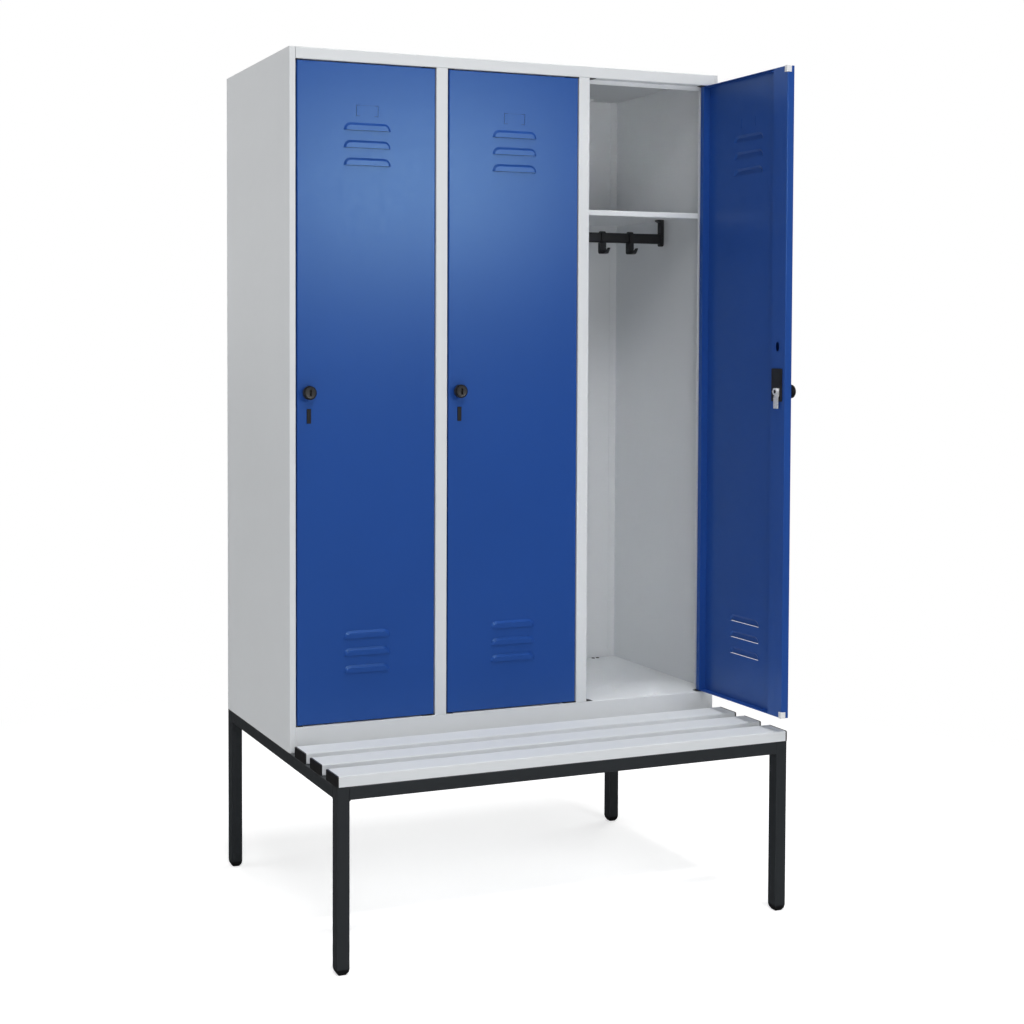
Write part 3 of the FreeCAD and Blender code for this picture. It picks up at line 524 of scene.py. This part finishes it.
def cut_away(piece, cutter):
    """Takes one shape out of another and deletes the cutter."""
    modifier = piece.modifiers.new("cut", "BOOLEAN")
    modifier.object = cutter
    modifier.operation = "DIFFERENCE"
    bpy.context.view_layer.objects.active = piece
    bpy.ops.object.modifier_apply(modifier=modifier.name)
    bpy.data.objects.remove(cutter)


def model_weld_bead():
    """One upright bead with ripples along it and tapered ends."""
    deselect_all()
    bpy.ops.mesh.primitive_cylinder_add(
        vertices=BEAD_SIDES, radius=BEAD_RADIUS, depth=BEAD_LENGTH)
    bead = bpy.context.object
    rings = 2 * BEAD_RIPPLES
    step = BEAD_LENGTH / rings
    bpy.ops.object.mode_set(mode="EDIT")
    pick(bead, "edges", lambda middle, direction: abs(direction.z) > ALONG)
    bpy.ops.mesh.subdivide(number_cuts=rings - 1)
    for ring in range(0, rings + 1, 2):
        level = ring * step - BEAD_LENGTH / 2
        factor = BEAD_TAPER if ring in (0, rings) else BEAD_WAIST
        pick(bead, "verts", lambda middle, direction: abs(middle.z - level) < step / 2)
        bpy.ops.transform.resize(value=(factor, factor, 1.0), center_override=(0.0, 0.0, level))
    bpy.ops.object.mode_set(mode="OBJECT")
    return bead


def weld_places():
    """Middle and turn of each bead: below the rails at their ends, and in upright inner corners."""
    along_x = (0.0, QUARTER_TURN, 0.0)
    along_y = (QUARTER_TURN, 0.0, 0.0)
    upright = (0.0, 0.0, 0.0)
    places = []
    for side in ("left", "right"):
        low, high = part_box("side_rail_" + side)
        middle = (low.x + high.x) / 2
        inner = high.x if side == "left" else low.x
        level = (low.z + high.z) / 2
        for end in (low.y, high.y):
            places.append(((middle, end, low.z), along_x))
            places.append(((inner, end, level), upright))
        for rail in ("front_rail", "rear_rail"):
            rail_low, rail_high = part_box(rail)
            places.append(((inner, (rail_low.y + rail_high.y) / 2, low.z), along_y))
        rail_low, rail_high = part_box("middle_rail")
        for edge in (rail_low.y, rail_high.y):
            places.append(((inner, edge, level), upright))
    return places


def make_frame_welds():
    """Weld beads of the tube frame, copied from one bead."""
    bead = model_weld_bead()
    copies = []
    for place, turn in weld_places():
        copy = copy_of(bead)
        copy.location = place
        copy.rotation_euler = turn
        copies.append(copy)
    bpy.data.objects.remove(bead)
    welds = joined(copies, "frame_welds")
    settle(welds)
    welds.data.materials.append(MATERIALS["frame_grey"])
    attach(welds, "locker")


def model_shade_strip(length, width):
    """One line of painted shade: a thin dark flat strip with rounded corners, lying along X at the
    origin.
    """
    deselect_all()
    bpy.ops.mesh.primitive_cube_add(size=1.0, scale=(length, SLIT_DEPTH, width))
    slit = bpy.context.object
    bpy.ops.object.transform_apply(location=False, rotation=False, scale=True)
    bpy.ops.object.mode_set(mode="EDIT")
    pick(slit, "edges", lambda middle, direction: abs(direction.y) > ALONG)
    bpy.ops.mesh.bevel(offset=width * SLIT_ROUND, segments=ROUND_STEPS)
    bpy.ops.object.mode_set(mode="OBJECT")
    return slit


def make_card_slit_shades():
    """Painted shade of each door's card clips: a dark strip in the score of each corner arm, and
    one along the upper edge between.
    """
    arm = model_shade_strip(ARM_LENGTH, ARM_WIDTH)
    edge = model_shade_strip(EDGE_LENGTH, EDGE_WIDTH)
    lines = [(arm, side, level) for side in (-ARM_OFFSET, ARM_OFFSET) for level in SLIT_LEVELS]
    lines.append((edge, 0.0, max(SLIT_LEVELS)))
    for number, opening in enumerate(OPENING_LEFTS, start=1):
        strips = []
        for pattern, side, level in lines:
            strip = copy_of(pattern)
            place = (opening + DOOR_MIDDLE + side, SLIT_PLACE, level)
            strip.matrix_world = swung_open(number, Matrix.Translation(place))
            strips.append(strip)
        shade_lines = joined(strips, f"card_slit_shades_{number}")
        settle(shade_lines)
        # Painted shade: the strips are coated dark to stand in for the shadow in the scores
        shade_lines.data.materials.append(PAINTED_SHADE_COAT)
        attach(shade_lines, f"door_{number}")
    bpy.data.objects.remove(arm)
    bpy.data.objects.remove(edge)


def model_grommet():
    """Plastic ring with a rounded cap and a stem that lines the drain; the black stem is also
    painted shade inside the hole.
    """
    deselect_all()
    bpy.ops.mesh.primitive_cylinder_add(
        vertices=GROMMET_SIDES, radius=GROMMET_RADIUS, depth=GROMMET_HEIGHT)
    grommet = bpy.context.object
    bpy.ops.object.mode_set(mode="EDIT")
    pick(grommet, "edges", lambda middle, direction: middle.z > 0 and abs(direction.z) < ACROSS)
    bpy.ops.mesh.bevel(offset=GROMMET_ROUND, segments=ROUND_STEPS)
    pick(grommet, "faces", lambda middle, direction: direction.z < -FACING)
    bpy.ops.mesh.inset(thickness=GROMMET_STEP)
    bpy.ops.mesh.extrude_region_move(TRANSFORM_OT_translate={"value": (0.0, 0.0, -GROMMET_STEM)})
    bpy.ops.object.mode_set(mode="OBJECT")
    bpy.ops.mesh.primitive_cylinder_add(
        vertices=GROMMET_SIDES, radius=GROMMET_BORE, depth=GROMMET_DRILL)
    cut_away(grommet, bpy.context.object)
    return grommet


def make_drain_grommets():
    """Grommets in the two drains of each compartment's floor, copied from one. Their black plastic
    also stands in for the shade inside the drains.
    """
    pattern = model_grommet()
    level = DRAIN_LEVEL + GROMMET_HEIGHT / 2
    copies = []
    for opening in OPENING_LEFTS:
        for offset in DRAIN_OFFSETS:
            grommet = copy_of(pattern)
            grommet.location = (opening + offset, DRAIN_PLACE, level)
            copies.append(grommet)
    bpy.data.objects.remove(pattern)
    grommets = joined(copies, "drain_grommets_and_shade")
    settle(grommets)
    # Painted shade in part: the black plastic darkens the drain holes
    grommets.data.materials.append(MATERIALS["black_plastic"])
    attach(grommets, "locker")


def model_dial():
    """Dished dial with a bevelled rim and a keyhole, facing the front at the origin."""
    facing = (QUARTER_TURN, 0.0, 0.0)
    deselect_all()
    bpy.ops.mesh.primitive_cylinder_add(
        vertices=DIAL_SIDES, radius=DIAL_RADIUS, depth=DIAL_THICKNESS, rotation=facing)
    dial = bpy.context.object
    bpy.ops.object.transform_apply(location=False, rotation=True, scale=False)
    bpy.ops.object.mode_set(mode="EDIT")
    pick(dial, "edges", lambda middle, direction: middle.y < 0 and abs(direction.y) < ACROSS)
    bpy.ops.mesh.bevel(offset=DIAL_BEVEL, segments=DIAL_BEVEL_STEPS)
    pick(dial, "faces", lambda middle, direction: direction.y < -FACING)
    bpy.ops.mesh.inset(thickness=DIAL_RIM)
    bpy.ops.transform.translate(value=(0.0, DIAL_DISH, 0.0))
    bpy.ops.object.mode_set(mode="OBJECT")
    width, height = KEYWAY
    bpy.ops.mesh.primitive_cube_add(size=1.0, scale=(width, DIAL_RADIUS, height))
    cut_away(dial, bpy.context.object)
    bpy.ops.mesh.primitive_cylinder_add(
        vertices=DIAL_SIDES, radius=KEYWAY_EYE, depth=DIAL_RADIUS,
        rotation=facing, location=(0.0, 0.0, EYE_RISE))
    cut_away(dial, bpy.context.object)
    return dial


def make_knob_dials():
    """Dial in the face of each knob, swung round the hinge on the open door."""
    pattern = model_dial()
    for number, opening in enumerate(OPENING_LEFTS, start=1):
        dial = copy_of(pattern)
        dial.name = f"knob_dial_{number}"
        place = (opening + KNOB_AXIS, KNOB_FACE - DIAL_THICKNESS / 2, KNOB_HEIGHT)
        dial.matrix_world = swung_open(number, Matrix.Translation(place))
        settle(dial)
        dial.data.materials.append(DIAL_FACE)
        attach(dial, f"lock_{number}")
    bpy.data.objects.remove(pattern)


# Studio

def make_floor():
    """Pale floor that fades to the white of the background away from the locker."""
    bpy.ops.mesh.primitive_plane_add(size=FLOOR_REACH * 2)
    floor = bpy.context.object
    floor.name = "floor"
    material, tree, shader = new_material("floor_sweep")
    path = add_node(tree, "LightPath").outputs
    shader.inputs["Roughness"].default_value = FLOOR_ROUGHNESS
    shader.inputs["Specular IOR Level"].default_value = FLOOR_GLOSS_LEVEL
    shader.inputs["Emission Color"].default_value = WHITE
    colour = mixed_colour(tree, path["Is Glossy Ray"], FLOOR_COLOUR, FLOOR_IN_GLOSS)
    lift = math_value(tree, "MULTIPLY", path["Is Camera Ray"], FLOOR_LIFT)
    tree.links.new(colour, shader.inputs["Base Color"])
    tree.links.new(lift, shader.inputs["Emission Strength"])
    place = object_place(tree)
    away = add_node(tree, "VectorMath", {0: place}, operation="LENGTH").outputs["Value"]
    limits = {"Value": away, "From Min": SHADE_INNER, "From Max": SHADE_OUTER}
    fade = add_node(tree, "MapRange", limits, interpolation_type="SMOOTHSTEP").outputs["Result"]
    seen = math_value(tree, "MULTIPLY", fade, path["Is Camera Ray"])
    glow = {"Color": WHITE, "Strength": WHITE_STRENGTH}
    white = add_node(tree, "Emission", glow).outputs["Emission"]
    mix = add_node(tree, "MixShader", {0: seen, 1: shader.outputs["BSDF"], 2: white})
    tree.links.new(mix.outputs["Shader"], tree.nodes["Material Output"].inputs["Surface"])
    floor.data.materials.append(material)


def make_sky():
    """White behind the object, faint as a light on it, and not mirrored by it."""
    world = bpy.data.worlds.new("studio")
    bpy.context.scene.world = world
    world.use_nodes = True
    world.cycles_visibility.glossy = False
    tree = world.node_tree
    seen = add_node(tree, "Mix", {"A": SKY_FILL, "B": WHITE_STRENGTH})
    tree.links.new(add_node(tree, "LightPath").outputs["Is Camera Ray"], seen.inputs["Factor"])
    sky = tree.nodes["Background"]
    sky.inputs["Color"].default_value = WHITE
    tree.links.new(seen.outputs["Result"], sky.inputs["Strength"])


def make_panel_light(name, panel, mirrored):
    """Soft rectangular studio light, which glossy surfaces may or may not mirror."""
    beam = Vector(panel["aim"]) - Vector(panel["place"])
    turn = beam.to_track_quat("-Z", "Y").to_euler()
    bpy.ops.object.light_add(type="AREA", location=panel["place"], rotation=turn)
    light = bpy.context.object
    light.name = name
    light.data.shape = "RECTANGLE"
    light.data.size, light.data.size_y = panel["size"]
    light.data.energy = panel["power"]
    light.data.spread = math.radians(panel.get("spread", FULL_SPREAD))
    light.visible_glossy = mirrored
    light.visible_camera = False


def make_camera():
    """Camera at the photograph's viewing angle."""
    turn = (QUARTER_TURN - CAMERA_TILT, 0.0, -CAMERA_TURN)
    bpy.ops.object.camera_add(location=CAMERA_PLACE, rotation=turn)
    camera = bpy.context.object
    camera.data.lens = CAMERA_LENS
    camera.data.shift_x, camera.data.shift_y = CAMERA_SHIFT
    bpy.context.scene.camera = camera


dress_nodes()
make_frame_welds()
make_card_slit_shades()
make_drain_grommets()
make_knob_dials()
make_floor()
make_sky()
for name, panel in SOFT_BOXES.items():
    make_panel_light(name, panel, True)
for name, panel in FILL_PANELS.items():
    make_panel_light(name, panel, False)
make_camera()
bpy.context.scene.view_settings.view_transform = "Standard"
